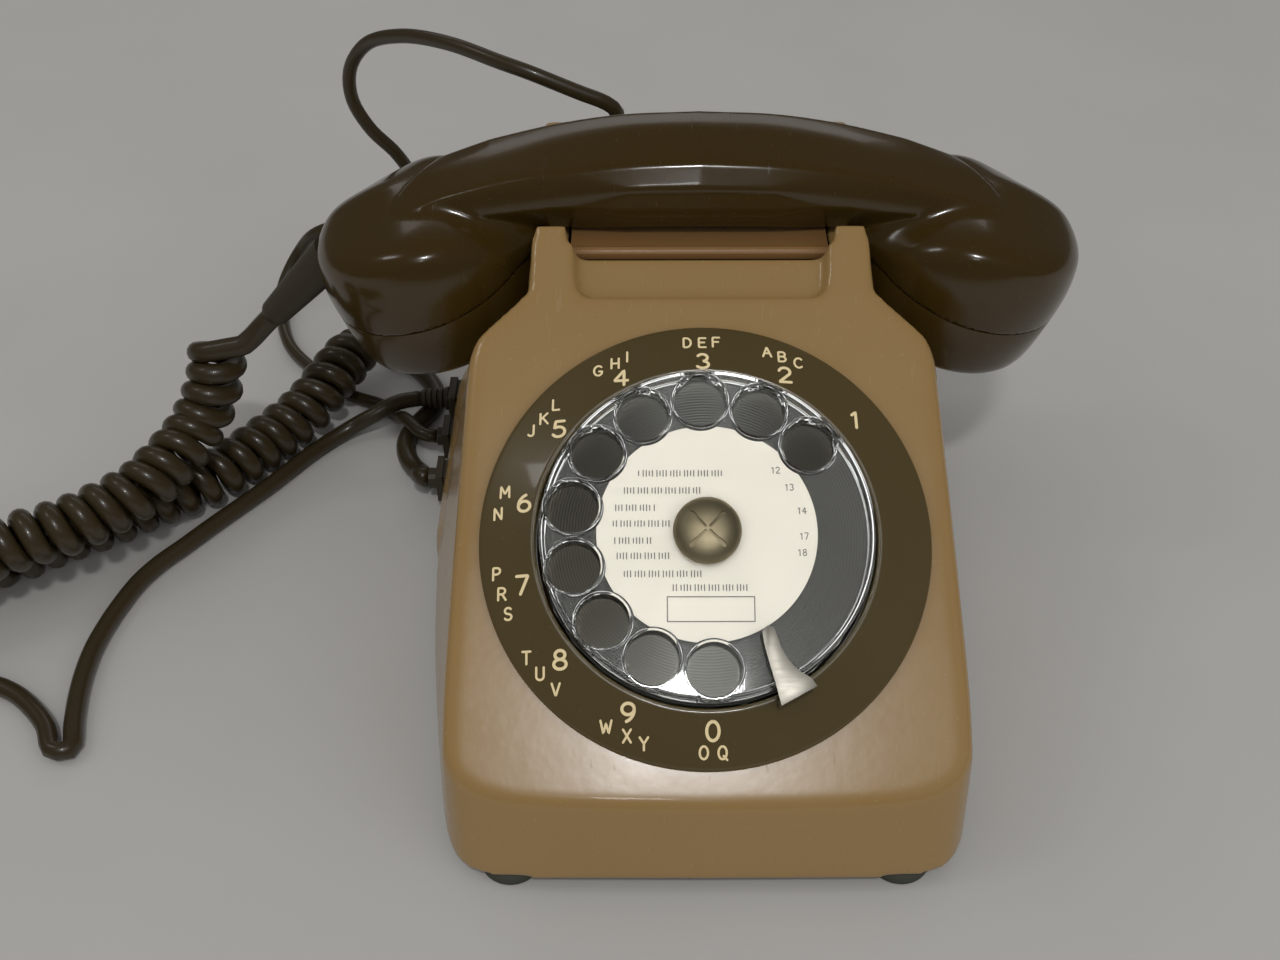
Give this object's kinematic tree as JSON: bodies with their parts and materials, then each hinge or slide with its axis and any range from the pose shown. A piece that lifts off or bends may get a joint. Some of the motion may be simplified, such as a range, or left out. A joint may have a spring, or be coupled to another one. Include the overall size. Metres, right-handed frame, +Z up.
{
  "type": "rotary desk telephone",
  "caption": "French-style cradle telephone with a clear finger wheel, a handset on a curly cord and a second listening earpiece at the back.",
  "frame": {"origin": "on the desk under the middle of the object without its cords", "axes": "+Z up, -Y towards the caller and the dial, +X to the right of the caller"},
  "size_m": [0.4215, 0.3183, 0.1267],
  "materials": {
    "case_plastic": "gloss taupe",
    "bar_plastic": "satin tan",
    "handset_plastic": "gloss dark olive brown",
    "ring_plastic": "gloss olive brown with cream characters",
    "clear_plastic": "clear acrylic",
    "card_paper": "matt white card",
    "cap_metal": "worn olive bronze lacquer",
    "stop_metal": "satin silver",
    "plate_metal": "brushed dark grey",
    "frame_steel": "zinc plated",
    "gear_brass": "plain",
    "gong_metal": "plain",
    "foot_rubber": "matt dark",
    "cord_rubber": "satin dark olive brown vinyl",
    "bush_rubber": "satin dark",
    "board_laminate": "brown laminate",
    "coil_tape": "varnished tape",
    "contact_black": "moulded black",
    "capsule_grey": "pressed can"
  },
  "bodies": {
    "case": {"body_shell": "case_plastic", "base_plate": "frame_steel", "base_screw_front": "frame_steel", "base_screw_rear": "frame_steel", "foot_front_left": "foot_rubber", "foot_front_right": "foot_rubber", "foot_rear_left": "foot_rubber", "foot_rear_right": "foot_rubber", "number_ring": "ring_plastic", "dial_plate": "plate_metal", "dial_frame": "frame_steel", "dial_rear_plate": "frame_steel", "finger_stop": "stop_metal", "return_spring": "frame_steel", "pulse_contacts": "contact_black", "hook_pin": "frame_steel", "cradle_bracket": "frame_steel", "hook_contacts": "contact_black", "ringer_frame": "frame_steel", "ringer_coil_left": "coil_tape", "ringer_coil_right": "coil_tape", "gong_left": "gong_metal", "gong_right": "gong_metal", "gong_post_left": "frame_steel", "gong_post_right": "frame_steel", "terminal_board": "board_laminate", "induction_coil": "coil_tape", "capacitor": "capsule_grey", "listener_bracket": "frame_steel", "curly_lead_handset": "cord_rubber", "curly_cord": "cord_rubber", "curly_lead_body": "cord_rubber", "curly_grommet": "bush_rubber", "listener_grommet": "bush_rubber", "line_relief": "bush_rubber", "listener_cord": "cord_rubber", "line_cord": "cord_rubber", "line_cord_coil": "cord_rubber", "line_cord_tail": "cord_rubber", "line_plug": "cord_rubber"},
    "dial_wheel": {"finger_wheel": "clear_plastic", "number_card": "card_paper", "centre_cap": "cap_metal", "dial_shaft": "frame_steel", "drive_gear": "gear_brass"},
    "governor_wheel": {"governor": "gear_brass"},
    "pulse_wheel": {"pulse_cam": "gear_brass"},
    "cradle_bar": {"hook_bar": "bar_plastic"},
    "bell_clapper": {"clapper": "gear_brass"},
    "handset": {"handset_shell": "handset_plastic", "mouthpiece_cap": "handset_plastic", "earpiece_cap": "handset_plastic", "transmitter_capsule": "capsule_grey", "receiver_capsule": "capsule_grey", "handset_sleeve": "bush_rubber"},
    "listener": {"listener_shell": "handset_plastic", "listener_cap": "handset_plastic", "listener_capsule": "capsule_grey", "listener_sleeve": "bush_rubber"}
  },
  "joints": [
    {"name": "dial_turn", "type": "hinge", "parent": "case", "child": "dial_wheel", "pos_m": [0, -0.0487, 0.0635], "axis": [0, 0.515, -0.8572], "range_deg": [0, 325], "stiffness_Nm_per_rad": 0.004, "springref_deg": -34.38},
    {"name": "governor_spin", "type": "hinge", "parent": "case", "child": "governor_wheel", "pos_m": [-0.02659, -0.057, 0.05851], "axis": [0, 0.515, -0.8572], "range_deg": [-1960, 5]},
    {"name": "pulse_cam_spin", "type": "hinge", "parent": "case", "child": "pulse_wheel", "pos_m": [0.024, -0.06155, 0.05578], "axis": [0, 0.515, -0.8572], "range_deg": [-1960, 5]},
    {"name": "handset_lift", "type": "slide", "parent": "case", "child": "handset", "axis": [0, 0, 1], "range_m": [0, 0.12]},
    {"name": "hook_lift", "type": "hinge", "parent": "case", "child": "cradle_bar", "pos_m": [0, 0.051, 0.0966], "axis": [-1, 0, 0], "range_deg": [0, 6.2]},
    {"name": "listener_lift", "type": "slide", "parent": "case", "child": "listener", "axis": [0, 0, 1], "range_m": [0, 0.04], "deforming": ["listener_cord"]},
    {"name": "clapper_swing", "type": "hinge", "parent": "case", "child": "bell_clapper", "pos_m": [0, 0.029, 0.033], "axis": [0, 0, 1], "range_deg": [-3, 3], "stiffness_Nm_per_rad": 0.002}
  ],
  "couplings": [
    {"joint": "governor_spin", "follows": "dial_turn", "ratio": -6},
    {"joint": "pulse_cam_spin", "follows": "dial_turn", "ratio": -6},
    {"joint": "hook_lift", "follows": "handset_lift", "rad_per_m": 0.873}
  ]
}
